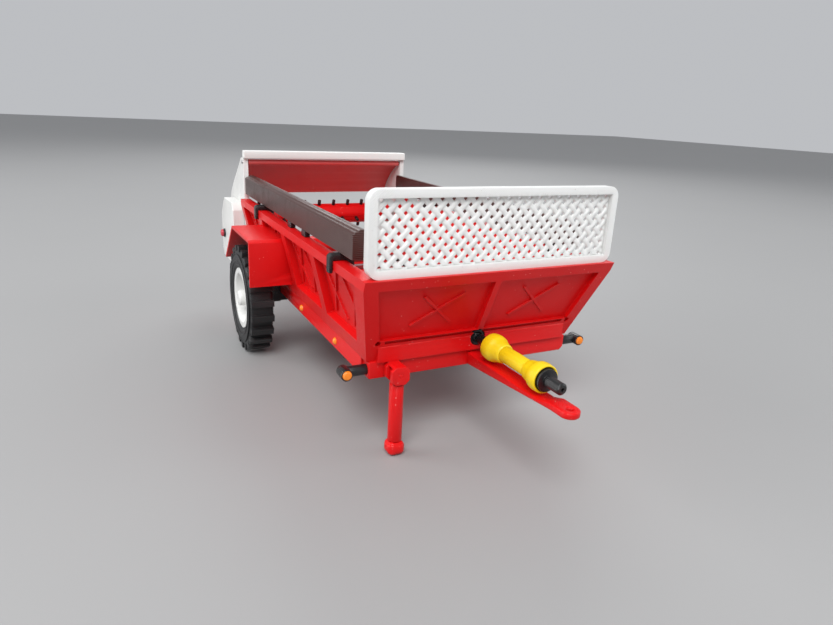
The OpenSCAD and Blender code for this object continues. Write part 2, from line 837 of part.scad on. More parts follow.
module drum(z) {
    end = cheek_in - 1.2;
    difference() {
        union() {
            bar_x(-end, end, beater_y, z, drum_r);
            bar_x(-cheek_out - 3.4, cheek_out + 1.8, beater_y, z, beater_shaft_r);
        }
        spike_set(z, 0);
    }
}

// Rows of round spikes round a drum, each row shifted half a step from the last
module spike_set(z, turn) {
    root = drum_r - 1;
    step = (2 * cheek_in - 8) / spikes;
    for (row = [0 : spike_rows - 1], i = [0 : spikes - 1])
        translate([(i - (spikes - 1) / 2 + (row % 2 == 0 ? -0.25 : 0.25)) * step, beater_y, z])
            rotate([360 * row / spike_rows + 20 + turn, 0, 0])
                translate([0, 0, root])
                    cylinder(h = spike_reach - root, r = 0.75, $fn = 16);
}

module upper_drum() color(red) on_centre() drum(upper_z);
module lower_drum() color(red) on_centre() drum(lower_z);
module upper_spikes() color(black) on_centre() spike_set(upper_z, 0);
module lower_spikes() color(black) on_centre() spike_set(lower_z, 0);

module beater_bearings() color(black) on_centre() {
    for (z = [upper_z, lower_z], side = [0, 1])
        mirror([side, 0, 0])
            difference() {
                bar_x(cheek_out, cheek_out + 1, beater_y, z, 3);
                bar_x(0, far, beater_y, z, beater_shaft_r + fit);
            }
}

// A chain wheel pressed on a beater's left end
module sprocket(z) {
    difference() {
        union() {
            bar_x(-gear_x - 0.9, -gear_x, beater_y, z, gear_r - 0.6);
            for (i = [0 : 9])
                translate([-gear_x - 0.45, beater_y, z])
                    rotate([36 * i, 0, 0])
                        translate([-0.35, -0.4, gear_r - 1.2]) cube([0.7, 0.8, 1.2]);
        }
        bar_x(-far, 0, beater_y, z, beater_shaft_r);
    }
}
module upper_sprocket() color(steel) on_centre() sprocket(upper_z);
module lower_sprocket() color(steel) on_centre() sprocket(lower_z);

module beater_chain() color(black) on_centre() {
    r = gear_r + 0.2;
    plate(-gear_x - 1.1, -gear_x + 0.2)
        difference() {
            chain_loop(r + 0.8);
            chain_loop(r);
        }
}
// A loop outline round both chain wheels
module chain_loop(r) {
    translate([beater_y, upper_z]) circle(r);
    translate([beater_y, lower_z]) circle(r);
    translate([beater_y - r, lower_z]) square([2 * r, upper_z - lower_z]);
}

module guard_outline(inset) {
    y0 = hopper_len + 2;
    y1 = rear_y - 3;
    z0 = lower_z - gear_r - 2.6;
    z1 = upper_z + 6.6;
    polygon([
        [y0 + inset, z0 + 3], [y0 + 3, z0 + inset], [y1 - 3, z0 + inset], [y1 - inset, z0 + 3],
        [y1 - inset, z1 - 8], [y1 - 8, z1 - inset], [y0 + 3, z1 - inset], [y0 + inset, z1 - 3],
    ]);
}

module chain_guard() color(white) on_centre() {
    difference() {
        plate(-guard_x, -cheek_out) guard_outline(0);
        plate(-guard_x + 1, -cheek_out + 1) guard_outline(1);
    }
}

// ---- floor conveyor ----

module conveyor_chains() color(black) on_centre() {
    links = floor((floor_end - housing_end - 2) / 2.4);
    for (side = [-1, 1], i = [0 : links - 1])
        translate([side * chain_x - 0.8, housing_end + 1 + 2.4 * i, conveyor_z])
            cube([1.6, i == links - 1 ? 1.8 : 2.4, i % 2 == 0 ? 1.2 : 0.8]);
}

module conveyor_slats() color(steel) on_centre() {
    count = 9;
    step = (floor_end - housing_end - 12) / (count - 1);
    difference() {
        for (i = [0 : count - 1])
            translate([-chain_x - 4, housing_end + 4 + step * i, conveyor_z])
                cube([2 * chain_x + 8, 1.8, 2]);
        for (side = [-1, 1])
            translate([side * chain_x - 0.8, 0, conveyor_z - 1]) cube([1.6, hopper_len, 2.2]);
    }
}

module conveyor_shaft() color(steel) on_centre() {
    bar_x(-inner_x(floor_z) - wall_t + 0.2, inner_x(floor_z) + wall_t - 0.2, conveyor_y, conveyor_shaft_z, beater_shaft_r);
    for (side = [-1, 1])
        bar_x(side * chain_x - 1, side * chain_x + 1, conveyor_y, conveyor_shaft_z, sprocket_r - 0.5);
}

// ---- lamps ----

module lamp_arms() color(black) on_centre() {
    for (side = [0, 1])
        mirror([side, 0, 0])
            difference() {
                bar_x(beam_half, lamp_x, lamp_y, lamp_z, lamp_r - 0.15);
                bar_y(0, 40, lamp_x, lamp_z, lamp_r);
            }
}

module front_lamps() color(black) on_centre() {
    for (side = [-1, 1])
        difference() {
            bar_y(lamp_y - 2.6, lamp_y + 1.6, side * lamp_x, lamp_z, lamp_r);
            bar_y(lamp_y - 3, lamp_y - 2, side * lamp_x, lamp_z, lamp_r - 0.3);
        }
}

module lamp_lenses() color(orange) on_centre() {
    for (side = [-1, 1]) {
        bar_y(lamp_y - 2.7, lamp_y - 2, side * lamp_x, lamp_z, lamp_r - 0.3);
        translate([side * lamp_x, lamp_y - 2.7, lamp_z])
            rotate([90, 0, 0])
                cylinder(h = 0.5, r1 = lamp_r - 0.3, r2 = lamp_r - 0.7);
    }
}

module side_markers() color(orange) on_centre() {
    for (side = [-1, 1], y = marker_stations)
        intersection() {
            translate([side * (base_w / 2 - 0.4), y, rail_z + 2.3]) sphere(r = marker_r);
            translate([side > 0 ? base_w / 2 : -base_w / 2 - 5, y - 5, rail_z - 5]) cube([5, 10, 15]);
        }
}

module tail_lamps() color(black) on_centre() {
    bar_x(-guard_x - 0.7, -guard_x, tail_y, tail_z, 2);
    bar_x(cheek_out, guard_x + 0.7, tail_y, tail_z, 2);
}

module tail_lenses() color(red) on_centre() {
    for (side = [0, 1])
        mirror([side, 0, 0]) {
            bar_x(guard_x + 0.7, guard_x + 1.5, tail_y, tail_z, 1.7);
            translate([guard_x + 1.5, tail_y, tail_z])
                rotate([0, 90, 0])
                    cylinder(h = 0.5, r1 = 1.7, r2 = 1.1);
        }
}

front_wall();
left_wall();
right_wall();
floor_plate();
lip_rail();
front_beam();
left_rail();
right_rail();
cross_members();
drawbar();
axle();
screen_frame();
screen_mesh();
left_board();
right_board();
board_hooks();
board_pads();
left_fender();
right_fender();
left_tyre();
left_wheel_rim();
left_hub_cap();
left_wheel_nuts();
right_tyre();
right_wheel_rim();
right_hub_cap();
right_wheel_nuts();
input_housing();
power_shaft();
guard_tube();
rear_guard_cone();
front_guard_cone();
stand_head();
stand_leg();
stand_foot();
stand_pin();
left_cheek();
right_cheek();
top_bar();
hood_panel();
hood_pins();
upper_drum();
upper_spikes();
lower_drum();
lower_spikes();
beater_bearings();
upper_sprocket();
lower_sprocket();
beater_chain();
chain_guard();
conveyor_chains();
conveyor_slats();
conveyor_shaft();
lamp_arms();
front_lamps();
lamp_lenses();
side_markers();
tail_lamps();
tail_lenses();
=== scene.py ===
import json
import math
import random
import bmesh
import bpy
from mathutils import Matrix, Vector


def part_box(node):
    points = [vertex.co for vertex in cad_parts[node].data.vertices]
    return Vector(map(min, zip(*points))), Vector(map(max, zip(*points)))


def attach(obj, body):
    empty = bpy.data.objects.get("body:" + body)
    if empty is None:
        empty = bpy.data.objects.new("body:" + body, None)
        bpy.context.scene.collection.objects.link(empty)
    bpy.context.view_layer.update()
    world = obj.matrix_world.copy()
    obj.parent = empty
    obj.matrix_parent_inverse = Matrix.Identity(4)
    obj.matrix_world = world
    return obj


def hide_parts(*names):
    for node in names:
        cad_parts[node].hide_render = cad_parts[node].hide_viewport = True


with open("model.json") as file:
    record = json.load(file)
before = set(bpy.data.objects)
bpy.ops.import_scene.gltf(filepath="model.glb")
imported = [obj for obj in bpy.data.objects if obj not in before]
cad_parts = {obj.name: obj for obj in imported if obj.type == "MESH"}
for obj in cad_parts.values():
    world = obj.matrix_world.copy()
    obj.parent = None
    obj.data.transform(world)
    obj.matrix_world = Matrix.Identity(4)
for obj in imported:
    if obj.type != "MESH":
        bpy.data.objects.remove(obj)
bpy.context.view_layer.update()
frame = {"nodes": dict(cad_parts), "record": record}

mm = 0.001
nodes = frame["nodes"]
bodyOf = {node: body for body, group in frame["record"]["behaviour"]["bodies"].items() for node in group}
slotOf = {part["node"]: part["material_slot"] for part in frame["record"]["subparts"]}
print("model loaded,", len(nodes), "parts")


camera = {
    "place": (-0.0934, -0.2004, 0.0915),
    "turn": 27.6,       # degrees to the right of straight ahead
    "down": 18.0,
    "tip": 2.9,
    "lens": 26.67,
}


def placeCamera():
    data = bpy.data.cameras.new("camera")
    data.lens = camera["lens"]
    data.sensor_width = 36.0
    data.clip_start = 0.005
    view = bpy.data.objects.new("camera", data)
    bpy.context.scene.collection.objects.link(view)
    view.matrix_world = (
        Matrix.Translation(camera["place"])
        @ Matrix.Rotation(math.radians(-camera["turn"]), 4, "Z")
        @ Matrix.Rotation(math.radians(90 - camera["down"]), 4, "X")
        @ Matrix.Rotation(math.radians(camera["tip"]), 4, "Z")
    )
    bpy.context.scene.camera = view


placeCamera()


def addNode(tree, kind, inputs=None, **settings):
    node = tree.nodes.new(kind)
    for key, value in settings.items():
        setattr(node, key, value)
    for key, value in (inputs or {}).items():
        if isinstance(value, bpy.types.NodeSocket):
            tree.links.new(value, node.inputs[key])
        else:
            node.inputs[key].default_value = value
    return node


def doMath(tree, operation, a, b=0.0, c=0.0, clamp=False):
    node = addNode(tree, "ShaderNodeMath", {0: a, 1: b, 2: c}, operation=operation)
    node.use_clamp = clamp
    return node.outputs[0]


def doVector(tree, operation, a, b=(0, 0, 0)):
    node = addNode(tree, "ShaderNodeVectorMath", {0: a, 1: b}, operation=operation)
    return node.outputs["Value" if operation in ("DOT_PRODUCT", "LENGTH") else "Vector"]


def spread(tree, value, low, high, toLow=0.0, toHigh=1.0):
    node = addNode(tree, "ShaderNodeMapRange", {
        "Value": value, "From Min": low, "From Max": high, "To Min": toLow, "To Max": toHigh,
    })
    return node.outputs["Result"]


def mixColour(tree, factor, a, b, blend="MIX"):
    node = addNode(tree, "ShaderNodeMix", {0: factor, 6: a, 7: b}, data_type="RGBA", blend_type=blend)
    return node.outputs[2]


def noiseOf(tree, where, scale, detail=2.0, rough=0.5):
    node = addNode(tree, "ShaderNodeTexNoise", {
        "Vector": where, "Scale": scale, "Detail": detail, "Roughness": rough,
    })
    return node.outputs["Fac"]


def newGroup(name, inputs, outputs):
    group = bpy.data.node_groups.new(name, "ShaderNodeTree")
    kinds = {"value": "NodeSocketFloat", "vector": "NodeSocketVector", "colour": "NodeSocketColor"}
    for label, kind, start in inputs:
        socket = group.interface.new_socket(label, in_out="INPUT", socket_type=kinds[kind])
        socket.default_value = start
    for label, kind in outputs:
        group.interface.new_socket(label, in_out="OUTPUT", socket_type=kinds[kind])
    return group, group.nodes.new("NodeGroupInput"), group.nodes.new("NodeGroupOutput")


def makePrintLines():
    # beads of plastic laid on each other along the build axis,
    # and diagonal strokes on faces that look along it
    group, source, result = newGroup("printLines", [
        ("Place", "vector", (0, 0, 0)), ("Axis", "vector", (0, 0, 1)),
        ("Layer", "value", 0.00026), ("Stroke", "value", 0.00045), ("Wander", "value", 0.35),
    ], [("Height", "value"), ("Line", "value"), ("Flat", "value")])
    place, axis = source.outputs["Place"], source.outputs["Axis"]
    wander = doMath(group, "SUBTRACT", noiseOf(group, place, 130.0), 0.5)
    wander = doMath(group, "MULTIPLY", wander, source.outputs["Wander"])
    up = doMath(group, "DIVIDE", doVector(group, "DOT_PRODUCT", place, axis), source.outputs["Layer"])
    up = doMath(group, "ADD", up, wander)
    layers = doMath(group, "SINE", doMath(group, "MULTIPLY", up, 2 * math.pi))
    across = doVector(group, "NORMALIZE", doVector(group, "CROSS_PRODUCT", axis, (1, 1, 1)))
    side = doMath(group, "DIVIDE", doVector(group, "DOT_PRODUCT", place, across), source.outputs["Stroke"])
    side = doMath(group, "ADD", side, wander)
    strokes = doMath(group, "SINE", doMath(group, "MULTIPLY", side, 2 * math.pi))
    facing = addNode(group, "ShaderNodeNewGeometry").outputs["True Normal"]
    flat = doMath(group, "ABSOLUTE", doVector(group, "DOT_PRODUCT", facing, axis))
    flat = spread(group, flat, 0.93, 0.985)
    line = addNode(group, "ShaderNodeMix", {0: flat, 2: layers, 3: strokes}).outputs[0]
    line = doMath(group, "MULTIPLY_ADD", line, 0.5, 0.5)
    grain = noiseOf(group, place, 2600.0, 3.0, 0.6)
    height = doMath(group, "MULTIPLY_ADD", grain, 0.45, line)
    group.links.new(height, result.inputs["Height"])
    group.links.new(line, result.inputs["Line"])
    group.links.new(flat, result.inputs["Flat"])
    return group


def makeWearAndHollows():
    # pale rubbed edges, a mask of shut-in hollows (which the printed finishes darken as painted shade) and
    # softened folds, found from how the surface turns
    group, source, result = newGroup("edgeWearAndHollows", [
        ("Place", "vector", (0, 0, 0)), ("Reach", "value", 0.0004), ("Break", "value", 420.0),
        ("Round", "value", 0.00016),
    ], [("Edge", "value"), ("Hollow", "value"), ("Soft", "vector")])
    rounded = addNode(group, "ShaderNodeBevel", {"Radius": source.outputs["Reach"]}, samples=4)
    plain = addNode(group, "ShaderNodeNewGeometry").outputs["Normal"]
    turned = doMath(group, "SUBTRACT", 1.0, doVector(group, "DOT_PRODUCT", rounded.outputs[0], plain))
    broken = spread(group, noiseOf(group, source.outputs["Place"], source.outputs["Break"], 4.0), 0.42, 0.66)
    edge = doMath(group, "MULTIPLY", spread(group, turned, 0.02, 0.22), broken)
    shade = addNode(group, "ShaderNodeAmbientOcclusion", {"Distance": 0.004}, samples=4)
    hollow = spread(group, shade.outputs["AO"], 0.75, 0.25)
    group.links.new(edge, result.inputs["Edge"])
    group.links.new(hollow, result.inputs["Hollow"])
    soft = addNode(group, "ShaderNodeBevel", {"Radius": source.outputs["Round"]}, samples=4)
    group.links.new(soft.outputs[0], result.inputs["Soft"])
    return group


def makeMottle():
    # slow colour drift, finer streaks, and small bright specks left by the nozzle, which partly stand in for
    # painted glints
    group, source, result = newGroup("mottle", [
        ("Place", "vector", (0, 0, 0)), ("Broad", "value", 45.0), ("Fine", "value", 700.0),
        ("Specks", "value", 0.1),
    ], [("Drift", "value"), ("Speck", "value"), ("Smudge", "value")])
    place = source.outputs["Place"]
    broad = noiseOf(group, place, source.outputs["Broad"], 3.0)
    fine = noiseOf(group, place, source.outputs["Fine"], 2.0)
    drift = doMath(group, "MULTIPLY_ADD", fine, 0.35, doMath(group, "MULTIPLY", broad, 0.65))
    cells = addNode(group, "ShaderNodeTexVoronoi", {"Vector": place, "Scale": 1500.0})
    chance = addNode(group, "ShaderNodeSeparateColor", {"Color": cells.outputs["Color"]}).outputs["Red"]
    kept = doMath(group, "LESS_THAN", chance, source.outputs["Specks"])
    dot = spread(group, cells.outputs["Distance"], 0.26, 0.12)
    patch = spread(group, noiseOf(group, place, 70.0, 2.0), 0.45, 0.62)
    speck = doMath(group, "MULTIPLY", doMath(group, "MULTIPLY", dot, kept), patch)
    smudge = spread(group, noiseOf(group, place, 95.0, 5.0, 0.65), 0.5, 0.72)
    group.links.new(drift, result.inputs["Drift"])
    group.links.new(speck, result.inputs["Speck"])
    group.links.new(smudge, result.inputs["Smudge"])
    return group


printLines, edgeWearAndHollows, mottle = makePrintLines(), makeWearAndHollows(), makeMottle()


finishes = {
    "redPrint": {
        "colour": (0.74, 0.005, 0.006), "dark": (0.50, 0.002, 0.003), "worn": (0.86, 0.08, 0.075),
        "rough": 0.36, "glossy": 0.31, "axis": (0, 0, 1), "layer": 0.00030, "relief": 0.000036,
        "specks": 0.07, "speckTint": (0.95, 0.42, 0.38), "gloss": 0.28,
    },
    # the hood's red is lightened and dulled towards pink as a painted reflection of the bright surroundings;
    # its dark, worn and speck tints follow it
    "hoodPrint": {
        "colour": (0.74, 0.095, 0.088), "dark": (0.60, 0.062, 0.058), "worn": (0.80, 0.22, 0.20),
        "rough": 0.50, "glossy": 0.42, "axis": (0, 1, 0), "layer": 0.00030, "relief": 0.000026,
        "specks": 0.05, "speckTint": (0.88, 0.50, 0.46), "gloss": 0.8,
    },
    "whitePrint": {
        "colour": (0.78, 0.78, 0.76), "dark": (0.64, 0.64, 0.61), "worn": (0.86, 0.86, 0.85),
        "rough": 0.42, "glossy": 0.34, "axis": (0, 0, 1), "layer": 0.00028, "relief": 0.000034,
        "specks": 0.06, "speckTint": (0.62, 0.61, 0.57), "gloss": 0.5,
    },
    "screenPrint": {
        "colour": (0.86, 0.865, 0.855), "dark": (0.60, 0.60, 0.575), "worn": (0.90, 0.90, 0.89),
        "rough": 0.38, "glossy": 0.32, "axis": (0, 1, 0), "layer": 0.00030, "relief": 0.000080,
        "specks": 0.16, "speckTint": (0.50, 0.49, 0.45), "gloss": 0.5,
    },
    "brownPrint": {
        "colour": (0.058, 0.020, 0.015), "dark": (0.024, 0.006, 0.005), "worn": (0.13, 0.065, 0.055),
        "rough": 0.44, "glossy": 0.36, "axis": (0, 0, 1), "layer": 0.00050, "relief": 0.000060,
        "specks": 0.05, "speckTint": (0.22, 0.14, 0.12), "gloss": 0.6,
    },
    "blackPrint": {
        "colour": (0.012, 0.012, 0.013), "dark": (0.005, 0.005, 0.006), "worn": (0.09, 0.09, 0.09),
        "rough": 0.34, "glossy": 0.24, "axis": (0, 0, 1), "layer": 0.00028, "relief": 0.000040,
        "specks": 0.14, "speckTint": (0.20, 0.20, 0.20), "gloss": 0.5,
    },
    "yellowPrint": {
        "colour": (0.90, 0.66, 0.006), "dark": (0.70, 0.42, 0.004), "worn": (0.96, 0.84, 0.20),
        "rough": 0.40, "glossy": 0.33, "axis": (0, 1, 0), "layer": 0.00024, "relief": 0.000022,
        "specks": 0.04, "speckTint": (0.96, 0.88, 0.45), "gloss": 0.5,
    },
    "tyreRubber": {
        "colour": (0.014, 0.014, 0.015), "dark": (0.007, 0.007, 0.007), "worn": (0.075, 0.072, 0.068),
        "rough": 0.52, "glossy": 0.42, "axis": (1, 0, 0), "layer": 0.00030, "relief": 0.000040,
        "specks": 0.10, "speckTint": (0.12, 0.12, 0.115), "gloss": 0.4,
    },
    "orangeLens": {
        "colour": (0.95, 0.27, 0.012), "dark": (0.72, 0.13, 0.006), "worn": (0.98, 0.48, 0.12),
        "rough": 0.30, "glossy": 0.20, "axis": (0, 1, 0), "layer": 0.00022, "relief": 0.000016,
        "specks": 0.05, "speckTint": (1.0, 0.70, 0.35), "gloss": 0.6,
    },
    "redLens": {
        "colour": (0.56, 0.05, 0.07), "dark": (0.36, 0.015, 0.03), "worn": (0.80, 0.30, 0.30),
        "rough": 0.28, "glossy": 0.20, "axis": (1, 0, 0), "layer": 0.00022, "relief": 0.000016,
        "specks": 0.05, "speckTint": (0.9, 0.5, 0.5), "gloss": 0.6,
    },
}


printShares = {
    "even": 0.72,        # how far the drift between dark and full colour is evened out
    "seam": 0.14,        # how dark the dips between layer lines are
    # how far hollows are darkened towards the dark tone, as painted shade
    "hollow": 0.16,
    "edge": 0.35,
    "speck": 0.8,
    "speckRise": 1.2,    # height of a speck against a layer line
    "smudgeRough": 0.08,
    "flatRough": 0.05,
}


def makePrinted(name):
    finish = finishes[name]
    share = printShares
    material = bpy.data.materials.new(name)
    material.use_nodes = True
    tree = material.node_tree
    shader = tree.nodes["Principled BSDF"]
    place = addNode(tree, "ShaderNodeTexCoord").outputs["Object"]
    lines = addNode(tree, "ShaderNodeGroup", node_tree=printLines)
    wearAndHollows = addNode(tree, "ShaderNodeGroup", node_tree=edgeWearAndHollows)
    cloud = addNode(tree, "ShaderNodeGroup", node_tree=mottle)
    for group in (lines, wearAndHollows, cloud):
        tree.links.new(place, group.inputs["Place"])
    lines.inputs["Axis"].default_value = finish["axis"]
    lines.inputs["Layer"].default_value = finish["layer"]
    cloud.inputs["Specks"].default_value = finish["specks"]
    base = mixColour(tree, cloud.outputs["Drift"], (*finish["dark"], 1), (*finish["colour"], 1))
    base = mixColour(tree, share["even"], base, (*finish["colour"], 1))
    seam = doMath(tree, "MULTIPLY", doMath(tree, "SUBTRACT", 1.0, lines.outputs["Line"]), share["seam"])
    base = mixColour(tree, seam, base, (*finish["dark"], 1))
    # painted shade: hollows are darkened towards the dark tone
    hollow = doMath(tree, "MULTIPLY", wearAndHollows.outputs["Hollow"], share["hollow"])
    base = mixColour(tree, hollow, base, (*finish["dark"], 1))
    edge = doMath(tree, "MULTIPLY", wearAndHollows.outputs["Edge"], share["edge"])
    base = mixColour(tree, edge, base, (*finish["worn"], 1))
    # specks: nozzle blobs, and in part painted glints where the tint is paler than the colour
    speck = doMath(tree, "MULTIPLY", cloud.outputs["Speck"], share["speck"])
    base = mixColour(tree, speck, base, (*finish["speckTint"], 1))
    tree.links.new(base, shader.inputs["Base Color"])
    rough = addNode(tree, "ShaderNodeMix", {
        0: cloud.outputs["Smudge"], 2: finish["glossy"], 3: finish["rough"] + share["smudgeRough"],
    }).outputs[0]
    rough = doMath(tree, "MULTIPLY_ADD", lines.outputs["Flat"], share["flatRough"], rough)
    tree.links.new(rough, shader.inputs["Roughness"])
    shader.inputs["Specular IOR Level"].default_value = finish["gloss"]
    height = doMath(tree, "MULTIPLY_ADD", cloud.outputs["Speck"], share["speckRise"], lines.outputs["Height"])
    bump = addNode(tree, "ShaderNodeBump", {
        "Strength": 1.0, "Distance": finish["relief"], "Height": height, "Normal": wearAndHollows.outputs["Soft"],
    })
    tree.links.new(bump.outputs["Normal"], shader.inputs["Normal"])
    return material


def makeSteel():
    material = bpy.data.materials.new("dullSteel")
    material.use_nodes = True
    tree = material.node_tree
    shader = tree.nodes["Principled BSDF"]
    place = addNode(tree, "ShaderNodeTexCoord").outputs["Object"]
    cloud = addNode(tree, "ShaderNodeGroup", node_tree=mottle)
    wearAndHollows = addNode(tree, "ShaderNodeGroup", node_tree=edgeWearAndHollows)
    tree.links.new(place, cloud.inputs["Place"])
    tree.links.new(place, wearAndHollows.inputs["Place"])
    stretched = doVector(tree, "MULTIPLY", place, (1.0, 14.0, 14.0))
    brushed = noiseOf(tree, stretched, 380.0, 3.0)
    base = mixColour(tree, brushed, (0.30, 0.30, 0.31, 1), (0.56, 0.56, 0.58, 1))
    base = mixColour(tree, doMath(tree, "MULTIPLY", wearAndHollows.outputs["Hollow"], 0.6), base, (0.12, 0.10, 0.09, 1))
    base = mixColour(tree, doMath(tree, "MULTIPLY", wearAndHollows.outputs["Edge"], 0.7), base, (0.80, 0.80, 0.82, 1))
    tree.links.new(base, shader.inputs["Base Color"])
    shader.inputs["Metallic"].default_value = 1.0
    rough = spread(tree, cloud.outputs["Drift"], 0.2, 0.8, 0.28, 0.46)
    tree.links.new(rough, shader.inputs["Roughness"])
    bump = addNode(tree, "ShaderNodeBump", {"Strength": 1.0, "Distance": 0.00001, "Height": brushed})
    tree.links.new(bump.outputs["Normal"], shader.inputs["Normal"])
    return material


materials = {name: makePrinted(name) for name in finishes}
materials["dullSteel"] = makeSteel()
print("finishes made,", len(materials))

finishOfSlot = {
    "red_plastic": "redPrint", "white_plastic": "whitePrint", "brown_plastic": "brownPrint",
    "black_plastic": "blackPrint", "yellow_plastic": "yellowPrint", "tyre_rubber": "tyreRubber",
    "orange_lens": "orangeLens", "red_lens": "redLens", "steel": "dullSteel",
}
ownFinish = {"screen_frame": "screenPrint", "hood_panel": "hoodPrint"}


def finishFor(node):
    return materials[ownFinish.get(node, finishOfSlot[slotOf[node]])]


for node, part in nodes.items():
    part.data.materials.clear()
    part.data.materials.append(finishFor(node))


def keepPiece(name, shape, like, stands=True, finish=None):
    # turns a bmesh into a finished piece that rides like the CAD node it belongs to
    mesh = bpy.data.meshes.new(name)
    shape.to_mesh(mesh)
    shape.free()
    mesh.materials.append(materials[finish] if finish else finishFor(like))
    piece = bpy.data.objects.new(name, mesh)
    bpy.context.scene.collection.objects.link(piece)
    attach(piece, bodyOf[like])
    if stands:
        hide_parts(like)
    return piece


def smoothFaces(piece):
    for face in piece.data.polygons:
        face.use_smooth = True


def camel(node):
    words = node.split("_")
    return words[0] + "".join(word.capitalize() for word in words[1:])


def roundEdges(piece, width, steps, turn):
    smoothFaces(piece)
    bevel = piece.modifiers.new("roundEdges", "BEVEL")
    bevel.width = width * mm
    bevel.segments = steps
    bevel.limit_method = "ANGLE"
    bevel.angle_limit = math.radians(turn)
    bevel.use_clamp_overlap = True
    bevel.harden_normals = True
    bevel.miter_outer = "MITER_ARC"


def shapeOf(node, join=1.0e-6):
    shape = bmesh.new()
    shape.from_mesh(nodes[node].data)
    bmesh.ops.remove_doubles(shape, verts=shape.verts, dist=join)
    bmesh.ops.dissolve_limit(shape, angle_limit=math.radians(0.6), verts=shape.verts, edges=shape.edges,
                             use_dissolve_boundaries=False, delimit=set())
    return shape


# every sharp edge gets a small round, as the printer leaves it
roundedParts = {
    "lip_rail": 0.4, "front_beam": 0.35,
    "left_rail": 0.3, "right_rail": 0.3, "cross_members": 0.3, "drawbar": 0.45, "axle": 0.25,
    "screen_frame": 0.7, "left_board": 0.22, "right_board": 0.22, "board_hooks": 0.4, "board_pads": 0.3,
    "left_fender": 0.3, "right_fender": 0.3, "left_tyre": 0.35, "right_tyre": 0.35,
    "left_wheel_rim": 0.2, "right_wheel_rim": 0.2, "left_hub_cap": 0.4, "right_hub_cap": 0.4,
    "left_wheel_nuts": 0.12, "right_wheel_nuts": 0.12, "input_housing": 0.3, "power_shaft": 0.2,
    "guard_tube": 0.15, "rear_guard_cone": 0.22, "front_guard_cone": 0.22, "stand_head": 0.6,
    "stand_leg": 0.3, "stand_foot": 0.7, "stand_pin": 0.15, "left_cheek": 0.35, "right_cheek": 0.35,
    "top_bar": 0.5, "hood_panel": 0.25, "hood_pins": 0.15, "upper_drum": 0.2, "lower_drum": 0.2,
    "upper_spikes": 0.12, "lower_spikes": 0.12, "beater_bearings": 0.2, "upper_sprocket": 0.1,
    "lower_sprocket": 0.1, "chain_guard": 0.4, "conveyor_slats": 0.25, "conveyor_shaft": 0.1,
    "lamp_arms": 0.25, "front_lamps": 0.2, "lamp_lenses": 0.35, "tail_lamps": 0.25, "tail_lenses": 0.35,
    "floor_plate": 0.15, "side_markers": 0.15,
}


panelled = {"front_wall": 8, "left_wall": 8, "right_wall": 8}     # sharpest fold left smooth, in degrees


def roundParts():
    for node, width in roundedParts.items():
        piece = keepPiece(camel(node) + "Rounded", shapeOf(node), node)
        roundEdges(piece, width, 3 if width > 0.3 else 2, 28)


def foldPanels():
    # panelled walls keep flat faces between crisp folds, which their finish softens
    for node, turn in panelled.items():
        shape = shapeOf(node)
        for edge in shape.edges:
            edge.smooth = len(edge.link_faces) == 2 and edge.calc_face_angle() < math.radians(turn)
        smoothFaces(keepPiece(camel(node) + "Panels", shape, node))


roundParts()
foldPanels()
print("edges rounded,", len(roundedParts) + len(panelled))


screenWeave = {
    "pitch": 3.3,        # between openings, across and up
    "strand": 1.52,      # width of one strand
    "depth": 0.55,       # half thickness of one layer before its faces are flattened
    "flat": 0.40,        # half thickness once flattened
    "swing": 0.08,       # how far a strand goes over and under those it crosses
    "sides": 12,
    "step": 0.5,         # length of one lump along a strand
    "lumps": 0.28,
}


def makeStrand(reach):
    # one long strand along X, lying over the origin
    shape = bmesh.new()
    ring = bmesh.ops.create_circle(shape, cap_ends=False, radius=1.0, segments=screenWeave["sides"])
    section = (screenWeave["strand"] * mm / 2, screenWeave["depth"] * mm, 1)
    bmesh.ops.scale(shape, verts=ring["verts"], vec=section)
    for vert in ring["verts"]:
        vert.co.y = max(-screenWeave["flat"] * mm, min(screenWeave["flat"] * mm, vert.co.y))
    bmesh.ops.rotate(shape, verts=ring["verts"], matrix=Matrix.Rotation(math.pi / 2, 3, "Z"))
    bmesh.ops.rotate(shape, verts=ring["verts"], matrix=Matrix.Rotation(math.pi / 2, 3, "Y"))
    bmesh.ops.translate(shape, verts=ring["verts"], vec=(-reach, 0, 0))
    made = bmesh.ops.extrude_edge_only(shape, edges=shape.edges[:])["geom"]
    far = [item for item in made if isinstance(item, bmesh.types.BMVert)]
    bmesh.ops.translate(shape, verts=far, vec=(2 * reach, 0, 0))
    long = [edge for edge in shape.edges if edge.calc_length() > reach]
    bmesh.ops.subdivide_edges(shape, edges=long, cuts=int(2 * reach / (screenWeave["step"] * mm)))
    bmesh.ops.rotate(shape, verts=shape.verts, matrix=Matrix.Rotation(math.pi / 2, 3, "X"))
    mesh = bpy.data.meshes.new("strand")
    shape.to_mesh(mesh)
    shape.free()
    return mesh


